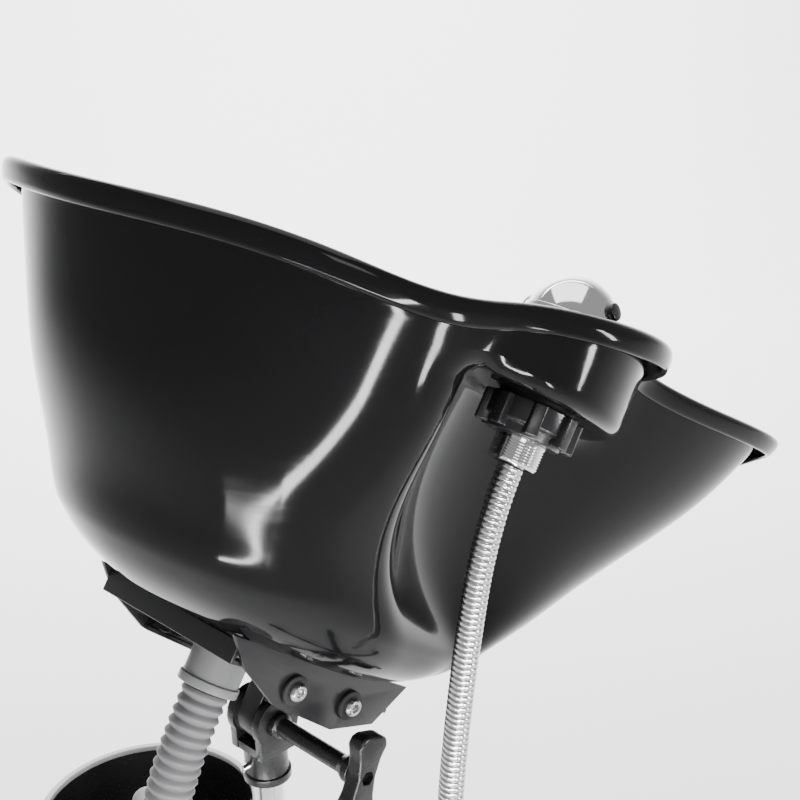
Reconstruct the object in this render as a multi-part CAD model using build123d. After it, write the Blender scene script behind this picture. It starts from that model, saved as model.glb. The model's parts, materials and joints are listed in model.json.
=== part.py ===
from build123d import *
import os
from math import cos, pi, radians, sin, sqrt, tan

# Mobile shampoo backwash unit. Millimetres, +Z up, the floor is Z = 0 and the column stands on the Z axis.
# The basin is drawn level in its own frame (X to the neck rest, Y across, origin on the tilt axis) and
# then tilted about Y by TILT.

# overall
PIVOT_HEIGHT = 800.0
TILT = 36.5
CLEARANCE = 0.3
RUNNING = 0.05

# basin shell
WALL = 5.0
LIP_OUT = 12.0
LIP_DEPTH = 14.0
FLOOR_LEVEL = 55.0
NOTCH_RADIUS = 105.0
NOTCH_CENTRE = 372.0

# ledge for the sprayer, one on each side
LEDGE_UNDERSIDE = 240.0
GUIDE_X = -82.0
GUIDE_Y = 172.0

# hose guide and back nut
GUIDE_OD = 29.0
GUIDE_BORE = 21.0
GUIDE_BOTTOM = 203.0
FLANGE_OD = 44.0
FLANGE_THICK = 4.0
GASKET_THICK = 2.0
NUT_OD = 54.0
NUT_THICK = 20.0
WING_COUNT = 6

# sprayer
HEAD_RADIUS = 26.0
HEAD_LEVEL = 288.0
STEM_OD = 20.0
HOSE_OD = 15.0
FACE_OD = 30.0
FACE_TILT = 12.0
BUTTON_OD = 10.0
BUTTON_TILT = 25.0
BUTTON_TRAVEL = 3.0

# drain
DRAIN_X = -57.0
DRAIN_FLANGE_OD = 76.0
DRAIN_FLANGE_THICK = 3.0
DRAIN_THREAD_OD = 38.0
DRAIN_BORE = 26.0
DRAIN_SEAL_OD = 60.0
DRAIN_SEAL_THICK = 3.0
DRAIN_NUT_OD = 56.0
DRAIN_NUT_THICK = 14.0
SPIGOT_OD = 30.0
SPIGOT_TOP = 36.0
SPIGOT_BOTTOM = 14.0
CUFF_OD = 37.0
CUFF_BOTTOM = 8.0
DRAIN_HOSE_OD = 31.0
DRAIN_HOSE_WALL = 2.0
STRAINER_OD = 64.0

# tilt bracket
PLATE_Y = 68.0
PLATE_THICK = 3.0
FOLD_WIDTH = 9.0
BOSS_SIZE = 20.0
BOSS_BELOW = 8.0            # boss depth under its screw, clear of the folded edge
BOSS_INNER = 46.0
SCREW_X = (-57.0, -5.0)
SCREW_LEVEL = 34.0
SCREW_OD = 6.0
SCREW_HEAD_OD = 12.0
GROMMET_OD = 19.0
GROMMET_BORE_OD = 11.0
GROMMET_PROUD = 3.0
BRIDGE_LEVEL = 32.0
BRIDGE_HALF = 22.0
BRIDGE_THICK = 4.0
LUG_WIDTH = 16.0
LUG_RADIUS = 15.0
WASHER_THICK = 1.5

# tilt head and column
TUBE_OD = 20.0
TUBE_WALL = 1.5
SOCKET_OD = 29.0
SOCKET_BOTTOM = -46.0
EAR_THICK = 6.0
EAR_RADIUS = 17.0
SHAFT_OD = 11.0
HANDLE_Y = -88.0
HANDLE_LENGTH = 52.0
HANDLE_THICK = 14.0
HANDLE_LEAN = 20.0
TUBE_TOP = -20.0
SOCKET_SCREW_LEVEL = -32.0
OUTER_OD = 30.0
OUTER_WALL = 3.0
OUTER_TOP = 560.0
COLLAR_OD = 42.0
TUBE_BOTTOM = 330.0
KNOB_LEVEL = 573.0

# base
LEG_COUNT = 5
LEG_REACH = 290.0
CASTOR_OD = 50.0
HUB_OD = 74.0
HUB_BOTTOM = 60.0
HUB_TOP = 112.0
LEG_START = 18.0
STEM_RADIUS = 5.5
CASTOR_TRAIL = 18.0

# waste bucket
BUCKET_X = 239.0
BUCKET_Y = 556.0
BUCKET_TOP = 300.0
BUCKET_TOP_RADIUS = 120.0
BUCKET_FOOT_RADIUS = 92.0
BUCKET_WALL = 3.0
BAIL_DROP = 18.0
BAIL_TURN = 62.0
BAIL_REST = 20.0

# half outlines of the basin wall from rear centre to front centre, by level
LEVELS = {
    FLOOR_LEVEL: [(-150, 0), (-136, 46), (-108, 82), (-78, 97), (-50, 102), (-25, 100), (0, 92), (20, 80),
                  (38, 62), (52, 34), (58, 0)],
    72.0: [(-178, 0), (-163, 56), (-128, 98), (-95, 115), (-62, 122), (-30, 119), (2, 112), (30, 99),
           (56, 76), (74, 42), (80, 0)],
    105.0: [(-205, 0), (-190, 62), (-153, 110), (-120, 127), (-90, 132), (-58, 122), (-16, 106), (38, 100),
            (85, 92), (120, 56), (132, 0)],
    150.0: [(-240, 0), (-223, 68), (-182, 120), (-152, 139), (-122, 144), (-90, 122), (-46, 101), (38, 100),
            (125, 97), (166, 62), (180, 0)],
    200.0: [(-268, 0), (-250, 75), (-207, 133), (-174, 156), (-140, 163), (-108, 132), (-60, 108), (55, 108),
            (165, 107), (208, 74), (224, 0)],
    250.0: [(-293, 0), (-275, 78), (-232, 142), (-194, 168), (-156, 177), (-118, 144), (-65, 116), (70, 116),
            (200, 118), (245, 86), (262, 0)],
    300.0: [(-316, 0), (-298, 82), (-252, 148), (-212, 175), (-170, 188), (-124, 152), (-68, 124), (85, 124),
            (225, 126), (272, 94), (290, 0)],
    345.0: [(-334, 0), (-315, 85), (-270, 153), (-226, 181), (-180, 195), (-128, 158), (-70, 130), (90, 130),
            (245, 132), (294, 100), (312, 0)],
}
# side view of the rim, rear to front
RIM_LINE = [(-345, 232), (-311, 242), (-285, 252), (-240, 259), (-184, 264), (-146, 280), (-100, 296),
            (-44, 302), (36, 301), (100, 301), (179, 308), (265, 316), (345, 318)]
# side outline of the bracket plate
PLATE_LINE = [(-120, 54.7), (-102, 38), (-68, 22), (-12, 16), (24, 26), (42, 54.7)]
# routes of the hoses
SHOWER_ROUTE = [(60, -172, 1018), (36, -172, 986), (14, -172, 906), (-6, -172, 790), (-10, -172, 600),
                (-6, -172, 400), (-8, -172, 170)]
DRAIN_ROUTE_UPPER = [(-41, 0, 840), (-86, 0, 779), (-84, 24, 660), (-57, 77, 602)]
DRAIN_ROUTE_LOWER = [(-56.8, 77.4, 601.6), (-30, 130, 545), (60, 270, 470), (150, 410, 420), (205, 500, 370),
                     (240, 560, 270), (246, 572, 170)]
# half outline of the ledge box: rear root, outer corners, front root
LEDGE_LINE = [(-152, 90), (-143, 178), (-122, 206), (-92, 214), (-48, 207), (-12, 183), (20, 150), (34, 90)]


def tilted(shape):
    """Place a shape drawn in the level basin frame."""
    return Pos(0, 0, PIVOT_HEIGHT) * Rot(0, TILT, 0) * shape


def raised(shape):
    """Place a shape drawn about the tilt axis but standing upright."""
    return Pos(0, 0, PIVOT_HEIGHT) * shape


def rod(radius, bottom, top, x=0.0, y=0.0):
    """Upright cylinder between two levels."""
    return Pos(x, y, (bottom + top) / 2) * Cylinder(radius, top - bottom)


def ring(outer, inner, bottom, top, x=0.0, y=0.0):
    """Upright tube between two levels, given as radii."""
    return rod(outer, bottom, top, x, y) - rod(inner, bottom - 1, top + 1, x, y)


def cross_rod(radius, start, end, x=0.0, z=0.0):
    """Cylinder along Y."""
    return Pos(x, (start + end) / 2, z) * Rot(90, 0, 0) * Cylinder(radius, abs(end - start))


def block(x0, x1, y0, y1, z0, z1):
    """Box between given faces."""
    return Pos((x0 + x1) / 2, (y0 + y1) / 2, (z0 + z1) / 2) * Box(x1 - x0, y1 - y0, z1 - z0)


def save(shape, name):
    """Write one node."""
    solids = shape.solids()
    export_step(Compound(children=list(solids)) if len(solids) > 1 else solids[0], f"parts/{name}.step")
    print(name, len(solids), round(sum(s.volume for s in solids) / 1000, 2), "cm3")


def mirrored_outline(half):
    """Close a half outline across the centre plane."""
    far = [(x, -y) for x, y in half[-2:0:-1]]
    return list(half) + far


def grown(points, amount):
    """Move every outline point along its outward normal."""
    moved = []
    count = len(points)
    for i, (x, y) in enumerate(points):
        x0, y0 = points[i - 1]
        x1, y1 = points[(i + 1) % count]
        length = sqrt((x1 - x0) ** 2 + (y1 - y0) ** 2)
        moved.append((x - amount * (y1 - y0) / length, y + amount * (x1 - x0) / length))
    return moved


def level_loft(amount, lift=0.0):
    """Loft through the level outlines, grown by an amount and lifted."""
    faces = []
    for level, half in LEVELS.items():
        points = grown(mirrored_outline(half), amount)
        outline = Spline(*[(x, y, level + lift) for x, y in points], periodic=True)
        faces.append(Face(Wire([outline])))
    return loft(faces)


def below_rim():
    """Everything under the rim surface, with the neck notch taken out."""
    side = Spline(*[(x, 0, z) for x, z in RIM_LINE])
    base = Polyline(side @ 1, (RIM_LINE[-1][0], 0, 0), (RIM_LINE[0][0], 0, 0), side @ 0)
    prism = extrude(Face(Wire([side, *base.edges()])), amount=300, both=True)
    front = Pos(RIM_LINE[-1][0], 0, NOTCH_CENTRE) * Rot(0, 90, 0) * Cylinder(NOTCH_RADIUS, 320)
    return prism - front


def ledge_box(side, amount, bottom):
    """Upright box of one ledge, grown outwards by an amount."""
    outline = [(x, side * y) for x, y in LEDGE_LINE]
    if side > 0:
        curve = Spline(*[(x, y, bottom) for x, y in grown_open(outline, amount)])
    else:
        curve = Spline(*[(x, y, bottom) for x, y in grown_open(outline, -amount)])
    closing = Line(curve @ 1, curve @ 0)
    return extrude(Face(Wire([curve, closing])), amount=400 - bottom, dir=(0, 0, 1))


def grown_open(points, amount):
    """Offset of an open outline whose first and last points stay."""
    moved = [points[0]]
    for i in range(1, len(points) - 1):
        x0, y0 = points[i - 1]
        x1, y1 = points[i + 1]
        x, y = points[i]
        length = sqrt((x1 - x0) ** 2 + (y1 - y0) ** 2)
        moved.append((x - amount * (y1 - y0) / length, y + amount * (x1 - x0) / length))
    return moved + [points[-1]]


def make_bosses():
    """Four moulded bosses under the floor that the bracket screws go into."""
    inner_face = PLATE_Y - PLATE_THICK
    bosses = []
    for s in (-1, 1):
        for x in SCREW_X:
            half = BOSS_SIZE / 2
            low, high = sorted((s * BOSS_INNER, s * inner_face))
            boss = block(x - half, x + half, low, high, SCREW_LEVEL - BOSS_BELOW, FLOOR_LEVEL + WALL / 2)
            bosses.append(boss - cross_rod(SCREW_OD / 2, low - 1, high + 1, x, SCREW_LEVEL))
    return bosses[0] + bosses[1] + bosses[2] + bosses[3]


def make_basin():
    """Moulded basin: wall, floor, rolled rim, two ledges and their holes."""
    under = below_rim()
    lowered = Pos(0, 0, -LIP_DEPTH) * under
    wall = level_loft(0)
    full = level_loft(LIP_OUT)
    for s in (-1, 1):
        wall += ledge_box(s, 0, LEDGE_UNDERSIDE)
        full += ledge_box(s, LIP_OUT, LEDGE_UNDERSIDE)
    body = (full & under) - (lowered - wall) - level_loft(-WALL, WALL)
    for s in (-1, 1):
        body -= ledge_box(s, -WALL, LEDGE_UNDERSIDE + WALL)
    for s in (-1, 1):
        body -= rod(GUIDE_OD / 2 + CLEARANCE, 200, 260, GUIDE_X, s * GUIDE_Y)
    body -= rod(DRAIN_THREAD_OD / 2 + CLEARANCE, FLOOR_LEVEL - 10, FLOOR_LEVEL + 20, DRAIN_X, 0)
    return body + make_bosses()


def thread(outer, pitch, bottom, top, depth=0.8, x=0.0, y=0.0):
    """Grooved cylinder that stands for a screw thread."""
    shape = rod(outer / 2, bottom, top, x, y)
    turns = int((top - bottom - pitch) / pitch)
    for i in range(turns):
        level = bottom + pitch * (i + 0.75)
        shape -= ring(outer / 2 + 1, outer / 2 - depth, level, level + pitch / 2, x, y)
    return shape


def make_hose_guide():
    """Flanged threaded sleeve through the ledge."""
    low = LEDGE_UNDERSIDE + WALL
    x, y = GUIDE_X, -GUIDE_Y
    flange = rod(FLANGE_OD / 2, low, low + FLANGE_THICK, x, y)
    neck = rod(GUIDE_OD / 2, LEDGE_UNDERSIDE - GASKET_THICK - NUT_THICK, low, x, y)
    tail = thread(GUIDE_OD, 3.0, GUIDE_BOTTOM, LEDGE_UNDERSIDE - GASKET_THICK - NUT_THICK, 0.8, x, y)
    return flange + neck + tail - rod(GUIDE_BORE / 2, GUIDE_BOTTOM - 1, low + FLANGE_THICK + 1, x, y)


def make_wing_nut():
    """Round back nut with wings."""
    top = LEDGE_UNDERSIDE - GASKET_THICK
    x, y = GUIDE_X, -GUIDE_Y
    nut = rod(NUT_OD / 2, top - NUT_THICK, top, x, y)
    for i in range(WING_COUNT):
        wing = Pos(x, y, top - NUT_THICK / 2) * Rot(0, 0, 360 / WING_COUNT * i) * Pos(NUT_OD / 2, 0, 0)
        nut += wing * Box(8, 5, NUT_THICK)
    return nut - rod(GUIDE_OD / 2, 0, 400, x, y)


def make_gasket():
    """Rubber ring between ledge and back nut."""
    top = LEDGE_UNDERSIDE
    return ring(FLANGE_OD / 2, GUIDE_OD / 2, top - GASKET_THICK, top, GUIDE_X, -GUIDE_Y)


def head_place():
    """Centre of the sprayer head."""
    return Pos(GUIDE_X, -GUIDE_Y, HEAD_LEVEL)


def make_sprayer_body():
    """Lower half of the sprayer head with its cone."""
    foot = LEDGE_UNDERSIDE + WALL + FLANGE_THICK + CLEARANCE
    lower = head_place() * Sphere(HEAD_RADIUS) & block(-200, 0, -300, 0, foot, HEAD_LEVEL - 1.5)
    cone_height = HEAD_LEVEL - 14 - foot
    cone = Pos(GUIDE_X, -GUIDE_Y, foot + cone_height / 2) * Cone(STEM_OD / 2 + 4, HEAD_RADIUS - 4, cone_height)
    body = lower + cone - rod(HOSE_OD / 2, foot - 1, foot + 12, GUIDE_X, -GUIDE_Y)
    return body - face_space() - button_space()


def face_place():
    """Seat of the spray face, on the side towards the basin."""
    return head_place() * Rot(-90 - FACE_TILT, 0, 0) * Pos(0, 0, HEAD_RADIUS - 5)


def face_space():
    """Room for the spray face."""
    return face_place() * Pos(0, 0, 10) * Cylinder(FACE_OD / 2, 20)


def make_spray_face():
    """Round plate with spray holes in rings."""
    plate = face_place() * Pos(0, 0, 2) * Cylinder(FACE_OD / 2, 4)
    for count, radius in ((6, 4.5), (12, 8.5)):
        for place in PolarLocations(radius, count):
            plate -= face_place() * place * Cylinder(0.7, 12)
    return plate


def button_place():
    """Axis of the flow button, on the side away from the basin."""
    return head_place() * Rot(90 - BUTTON_TILT, 0, 0)


def button_space():
    """Bore that the flow button slides in."""
    return button_place() * Pos(0, 0, HEAD_RADIUS) * Cylinder(BUTTON_OD / 2 + RUNNING, 16)


def make_button():
    """Flow button."""
    start = HEAD_RADIUS - 8 + BUTTON_TRAVEL + CLEARANCE
    end = HEAD_RADIUS + BUTTON_TRAVEL
    return button_place() * Pos(0, 0, (start + end) / 2) * Cylinder(BUTTON_OD / 2, end - start)


def make_sprayer_cap():
    """Upper dome of the sprayer head."""
    upper = head_place() * Sphere(HEAD_RADIUS) & block(-200, 0, -300, 0, HEAD_LEVEL + 1.5, 400)
    return upper - face_space() - button_space()


def make_seam_ring():
    """Raised ring between the two halves of the head."""
    band = ring(HEAD_RADIUS + 1.2, HEAD_RADIUS - 6, HEAD_LEVEL - 1.5, HEAD_LEVEL + 1.5, GUIDE_X, -GUIDE_Y)
    return band - face_space() - button_space()


def make_hose_top():
    """Straight end of the shower hose inside the guide."""
    foot = LEDGE_UNDERSIDE + WALL + FLANGE_THICK + CLEARANCE
    return rod(HOSE_OD / 2, GUIDE_BOTTOM + 8.5, foot + 12, GUIDE_X, -GUIDE_Y)


def make_blank_plug():
    """Cap with a threaded stem in the hole of the far ledge."""
    low = LEDGE_UNDERSIDE + WALL
    cap = rod(FLANGE_OD / 2 - 2, low, low + FLANGE_THICK, GUIDE_X, GUIDE_Y)
    return cap + rod(GUIDE_OD / 2, LEDGE_UNDERSIDE - 20, low, GUIDE_X, GUIDE_Y)


def make_plug_nut():
    """Nut of the blanking plug."""
    top = LEDGE_UNDERSIDE
    nut = Pos(GUIDE_X, GUIDE_Y, top - 6) * extrude(RegularPolygon(24, 6), amount=6, both=True)
    return nut - rod(GUIDE_OD / 2, 0, 400, GUIDE_X, GUIDE_Y)


def make_drain_flange():
    """Drain mouth with its threaded neck and spigot."""
    top = FLOOR_LEVEL + WALL
    shape = rod(DRAIN_FLANGE_OD / 2, top, top + DRAIN_FLANGE_THICK, DRAIN_X)
    shape += rod(DRAIN_THREAD_OD / 2, SPIGOT_TOP, top, DRAIN_X)
    shape += rod(SPIGOT_OD / 2, SPIGOT_BOTTOM, SPIGOT_TOP, DRAIN_X)
    return shape - rod(DRAIN_BORE / 2, 0, 100, DRAIN_X)


def make_drain_seal():
    """Rubber ring under the basin floor."""
    low = FLOOR_LEVEL - DRAIN_SEAL_THICK
    return ring(DRAIN_SEAL_OD / 2, DRAIN_THREAD_OD / 2, low, FLOOR_LEVEL, DRAIN_X)


def make_drain_nut():
    """Ribbed nut under the drain seal."""
    top = FLOOR_LEVEL - DRAIN_SEAL_THICK
    nut = rod(DRAIN_NUT_OD / 2 - 2, top - DRAIN_NUT_THICK, top, DRAIN_X)
    for i in range(8):
        rib = Pos(DRAIN_X, 0, top - DRAIN_NUT_THICK / 2) * Rot(0, 0, 45 * i) * Pos(DRAIN_NUT_OD / 2 - 3, 0, 0)
        nut += rib * Box(6, 6, DRAIN_NUT_THICK)
    return nut - rod(DRAIN_THREAD_OD / 2, 0, 100, DRAIN_X)


def make_cuff():
    """Soft cuff that joins the drain hose to the spigot."""
    cuff = rod(CUFF_OD / 2, CUFF_BOTTOM, SPIGOT_TOP, DRAIN_X)
    cuff += rod(CUFF_OD / 2 + 1.5, CUFF_BOTTOM, CUFF_BOTTOM + 6, DRAIN_X)
    cuff -= rod(SPIGOT_OD / 2, SPIGOT_BOTTOM, SPIGOT_TOP + 1, DRAIN_X)
    return cuff - rod(DRAIN_BORE / 2, 0, 60, DRAIN_X)


def make_strainer():
    """Loose perforated hair strainer with a finger knob."""
    low = FLOOR_LEVEL + WALL + DRAIN_FLANGE_THICK + CLEARANCE
    disc = rod(STRAINER_OD / 2, low, low + 2, DRAIN_X)
    disc += rod(5, low, low + 10, DRAIN_X)
    for count, radius in ((8, 12), (14, 20)):
        for place in PolarLocations(radius, count):
            disc -= Pos(DRAIN_X, 0, low) * place * Cylinder(2, 10)
    return disc


def make_side_plate(side):
    """Sheet side plate of the tilt bracket with a folded lower edge."""
    outline = Polyline(*[(x, 0, z) for x, z in PLATE_LINE], close=True)
    plate = extrude(Face(Wire(outline.edges())), amount=PLATE_THICK / 2, both=True)
    plate = Pos(0, side * (PLATE_Y - PLATE_THICK / 2), 0) * plate
    x0, z0 = PLATE_LINE[2]
    x1, z1 = PLATE_LINE[3]
    low, high = sorted((side * (PLATE_Y - FOLD_WIDTH), side * PLATE_Y))
    fold = Polyline((x0, low, z0), (x1, low, z1), (x1, low, z1 + 3), (x0, low, z0 + 3), close=True)
    plate += extrude(Face(Wire(fold.edges())), amount=high - low, dir=(0, 1, 0))
    for x in SCREW_X:
        plate -= cross_rod(GROMMET_BORE_OD / 2, side * 50, side * 80, x, SCREW_LEVEL)
    return plate


def make_cross_bar(x0, x1, z0, z1):
    """Angle bar between the side plates."""
    reach = PLATE_Y - PLATE_THICK
    bar = block(x0, x1, -reach, reach, z0, z0 + PLATE_THICK)
    return bar + block(x0, x0 + PLATE_THICK, -reach, reach, z0, z1)


def make_bridge():
    """Cross plate that carries the pivot lug."""
    reach = PLATE_Y - PLATE_THICK
    top = BRIDGE_LEVEL + BRIDGE_THICK
    width = BOSS_INNER - CLEARANCE
    plate = block(-BRIDGE_HALF, BRIDGE_HALF, -width, width, BRIDGE_LEVEL, top)
    plate += block(max(SCREW_X) + BOSS_SIZE / 2 + 2, BRIDGE_HALF, -reach, reach, BRIDGE_LEVEL, top)
    lug = block(-LUG_RADIUS, LUG_RADIUS, -LUG_WIDTH / 2, LUG_WIDTH / 2, 0, BRIDGE_LEVEL)
    lug += cross_rod(LUG_RADIUS, -LUG_WIDTH / 2, LUG_WIDTH / 2)
    return plate + lug - cross_rod(SHAFT_OD / 2 + RUNNING, -LUG_WIDTH, LUG_WIDTH)


def make_grommets():
    """Rubber bushes in the side plates."""
    group = []
    for s in (-1, 1):
        for x in SCREW_X:
            sleeve = cross_rod(GROMMET_BORE_OD / 2, s * (PLATE_Y - PLATE_THICK), s * PLATE_Y, x, SCREW_LEVEL)
            head = cross_rod(GROMMET_OD / 2, s * PLATE_Y, s * (PLATE_Y + GROMMET_PROUD), x, SCREW_LEVEL)
            group.append(sleeve + head - cross_rod(SCREW_OD / 2, s * 40, s * 90, x, SCREW_LEVEL))
    return Compound(children=[g.solids()[0] for g in group])


def make_screws():
    """Pan-head screws of the bracket."""
    group = []
    proud = PLATE_Y + GROMMET_PROUD
    for s in (-1, 1):
        for x in SCREW_X:
            shank = cross_rod(SCREW_OD / 2, s * (BOSS_INNER + 4), s * proud, x, SCREW_LEVEL)
            head = cross_rod(SCREW_HEAD_OD / 2, s * proud, s * (proud + 4), x, SCREW_LEVEL)
            slot = Pos(x, s * (proud + 4), SCREW_LEVEL) * Box(2, 2, 7)
            cross = Pos(x, s * (proud + 4), SCREW_LEVEL) * Box(7, 2, 2)
            group.append(shank + head - slot - cross)
    return Compound(children=[g.solids()[0] for g in group])


def make_tilt_socket():
    """Socket on the column with two clevis ears."""
    inner = LUG_WIDTH / 2 + CLEARANCE + WASHER_THICK
    saddle = -LUG_RADIUS - 1.5
    shape = rod(SOCKET_OD / 2, SOCKET_BOTTOM, saddle)
    shape += rod(SOCKET_OD / 2 + 1.5, SOCKET_BOTTOM, SOCKET_BOTTOM + 5)
    shape += block(-SOCKET_OD / 2, SOCKET_OD / 2, -inner - EAR_THICK, inner + EAR_THICK, saddle - 6, saddle)
    for s in (-1, 1):
        low, high = sorted((s * inner, s * (inner + EAR_THICK)))
        shape += block(-EAR_RADIUS + 2, EAR_RADIUS - 2, low, high, saddle - 6, 0)
        shape += cross_rod(EAR_RADIUS, low, high)
    shape -= cross_rod(SHAFT_OD / 2 + RUNNING, -40, 40)
    shape -= rod(TUBE_OD / 2, SOCKET_BOTTOM - 1, TUBE_TOP)
    return shape - socket_screw_space()


def socket_screw_space():
    """Threaded hole of the set screw."""
    return Pos(-SOCKET_OD / 2, 0, SOCKET_SCREW_LEVEL) * Rot(0, 90, 0) * Cylinder(2.5, 2 * (SOCKET_OD - TUBE_OD) / 2)


def make_socket_screw():
    """Set screw that clamps the tube."""
    start = -TUBE_OD / 2
    length = 10.0
    screw = Pos(start - length / 2, 0, SOCKET_SCREW_LEVEL) * Rot(0, 90, 0) * Cylinder(2.5, length)
    slot = Pos(start - length, 0, SOCKET_SCREW_LEVEL) * Box(2.4, 1, 6)
    return screw - slot


def make_washers():
    """Friction washers on both sides of the lug."""
    inner = LUG_WIDTH / 2 + CLEARANCE
    group = []
    for s in (-1, 1):
        low, high = sorted((s * inner, s * (inner + WASHER_THICK)))
        group.append(cross_rod(LUG_RADIUS, low, high) - cross_rod(SHAFT_OD / 2 + RUNNING, low - 1, high + 1))
    return Compound(children=[g.solids()[0] for g in group])


def make_clamp_nut():
    """Nut on the far end of the tilt shaft."""
    start = LUG_WIDTH / 2 + CLEARANCE + WASHER_THICK + EAR_THICK
    nut = Pos(0, start + 4, 0) * Rot(90, 0, 0) * extrude(RegularPolygon(11, 6), amount=4, both=True)
    return nut - cross_rod(SHAFT_OD / 2 + RUNNING, start - 1, start + 12)


def make_tilt_handle():
    """T-handle: shaft, shoulder, hub and flared bar with a hexagonal recess."""
    face = LUG_WIDTH / 2 + CLEARANCE + WASHER_THICK + EAR_THICK
    shape = cross_rod(SHAFT_OD / 2, HANDLE_Y, face + 7)
    shape += cross_rod(SHAFT_OD / 2 + 3, -face - CLEARANCE - 4, -face - CLEARANCE)
    shape += cross_rod(9, HANDLE_Y - HANDLE_THICK, HANDLE_Y + 4)
    arm = Polyline((-5, 0, 0), (-7.5, 0, HANDLE_LENGTH / 2), (7.5, 0, HANDLE_LENGTH / 2), (5, 0, 0),
                   (7.5, 0, -HANDLE_LENGTH / 2), (-7.5, 0, -HANDLE_LENGTH / 2), close=True)
    bar = extrude(Face(Wire(arm.edges())), amount=HANDLE_THICK - 4, dir=(0, -1, 0))
    shape += Pos(0, HANDLE_Y - 4, 0) * Rot(0, HANDLE_LEAN, 0) * bar
    recess = Pos(0, HANDLE_Y - HANDLE_THICK, 0) * Rot(90, 0, 0) * extrude(RegularPolygon(5, 6), amount=3, both=True)
    return shape - recess


def make_inner_tube():
    """Chromed inner column tube."""
    shape = rod(TUBE_OD / 2, TUBE_BOTTOM, PIVOT_HEIGHT + TUBE_TOP)
    return shape - rod(TUBE_OD / 2 - TUBE_WALL, TUBE_BOTTOM - 1, PIVOT_HEIGHT)


def make_glide():
    """Plastic glide on the foot of the inner tube."""
    bore = OUTER_OD / 2 - OUTER_WALL
    return ring(bore - RUNNING, TUBE_OD / 2, TUBE_BOTTOM, TUBE_BOTTOM + 16)


def make_outer_tube():
    """Lower column tube."""
    return ring(OUTER_OD / 2, OUTER_OD / 2 - OUTER_WALL, HUB_BOTTOM + 8, OUTER_TOP)


def make_collar():
    """Guide collar on the outer tube, bored for the height knob."""
    shape = rod(COLLAR_OD / 2, OUTER_TOP - 30, OUTER_TOP + 26)
    shape -= rod(OUTER_OD / 2, OUTER_TOP - 31, OUTER_TOP)
    shape -= rod(TUBE_OD / 2 + RUNNING, OUTER_TOP - 1, OUTER_TOP + 30)
    shape += cross_rod(9, -COLLAR_OD / 2 - 6, -TUBE_OD / 2 - 4, 0, KNOB_LEVEL)
    return shape - cross_rod(4 + RUNNING, -COLLAR_OD, 0, 0, KNOB_LEVEL)


def make_height_knob():
    """Star knob with its clamping screw."""
    start = -COLLAR_OD / 2 - 6 - CLEARANCE
    shape = cross_rod(4, -TUBE_OD / 2 - CLEARANCE, start, 0, KNOB_LEVEL)
    grip = cross_rod(17, start, start - 18, 0, KNOB_LEVEL)
    for place in PolarLocations(18, 6):
        grip -= Pos(0, start - 9, KNOB_LEVEL) * Rot(90, 0, 0) * place * Cylinder(5, 20)
    return shape + grip


def make_base():
    """Star base: hub and legs with a castor socket at each end."""
    shape = rod(HUB_OD / 2, HUB_BOTTOM, HUB_TOP)
    for i in range(LEG_COUNT):
        turn = Rot(0, 0, 360 / LEG_COUNT * i + LEG_START)
        root = Polyline((20, -19, HUB_BOTTOM), (20, 19, HUB_BOTTOM), (20, 15, HUB_TOP - 8),
                        (20, -15, HUB_TOP - 8), close=True)
        tip = Polyline((LEG_REACH, -12, HUB_BOTTOM), (LEG_REACH, 12, HUB_BOTTOM), (LEG_REACH, 10, HUB_BOTTOM + 20),
                       (LEG_REACH, -10, HUB_BOTTOM + 20), close=True)
        leg = loft([Face(Wire(root.edges())), Face(Wire(tip.edges()))], ruled=True)
        leg += rod(17, HUB_BOTTOM, HUB_BOTTOM + 22, LEG_REACH)
        leg -= rod(STEM_RADIUS + RUNNING, HUB_BOTTOM - 1, HUB_BOTTOM + 18, LEG_REACH)
        shape += turn * leg
    return shape - rod(OUTER_OD / 2, HUB_BOTTOM + 8, HUB_TOP + 1)


def castor_place(index):
    """Swivel axis of one castor."""
    return Rot(0, 0, 360 / LEG_COUNT * index + LEG_START) * Pos(LEG_REACH, 0, 0)


def make_castor_fork(index):
    """Castor body with its stem and axle."""
    radius = CASTOR_OD / 2
    shape = rod(STEM_RADIUS, radius * 2 + 4, HUB_BOTTOM + 16)
    shape += rod(16, radius * 2 + 2, HUB_BOTTOM - 1)
    shape += block(-CASTOR_TRAIL - 8, 8, -5, 5, radius - 8, radius * 2 + 6)
    shape += cross_rod(3, -19, 19, -CASTOR_TRAIL, radius)
    return castor_place(index) * shape


def make_castor_wheels(index):
    """Twin wheels of one castor."""
    radius = CASTOR_OD / 2
    wheels = []
    for s in (-1, 1):
        low, high = sorted((s * 5.4, s * 18))
        wheel = cross_rod(radius, low, high, -CASTOR_TRAIL, radius)
        wheel -= cross_rod(3 + RUNNING, low - 1, high + 1, -CASTOR_TRAIL, radius)
        wheels.append((castor_place(index) * wheel).solids()[0])
    return Compound(children=wheels)


def make_bucket():
    """Tapered waste bucket with two handle ears."""
    place = Pos(BUCKET_X, BUCKET_Y, BUCKET_TOP / 2)
    shape = place * Cone(BUCKET_FOOT_RADIUS, BUCKET_TOP_RADIUS, BUCKET_TOP)
    inner = Cone(BUCKET_FOOT_RADIUS - BUCKET_WALL, BUCKET_TOP_RADIUS - BUCKET_WALL, BUCKET_TOP)
    shape -= place * Pos(0, 0, BUCKET_WALL) * inner
    for s in (-1, 1):
        start = BUCKET_TOP_RADIUS - 5
        ear = Pos(0, s * (start + 5), 0) * Rot(90, 0, 0) * Cylinder(7, 10)
        hole = Pos(0, s * (start + 8), 0) * Rot(90, 0, 0) * Cylinder(3 + RUNNING, 7)
        shape += bail_place() * (ear - hole)
    return shape


def bail_place():
    """Pivot axis of the bucket handle."""
    return Pos(BUCKET_X, BUCKET_Y, BUCKET_TOP - BAIL_DROP) * Rot(0, 0, BAIL_TURN)


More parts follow.
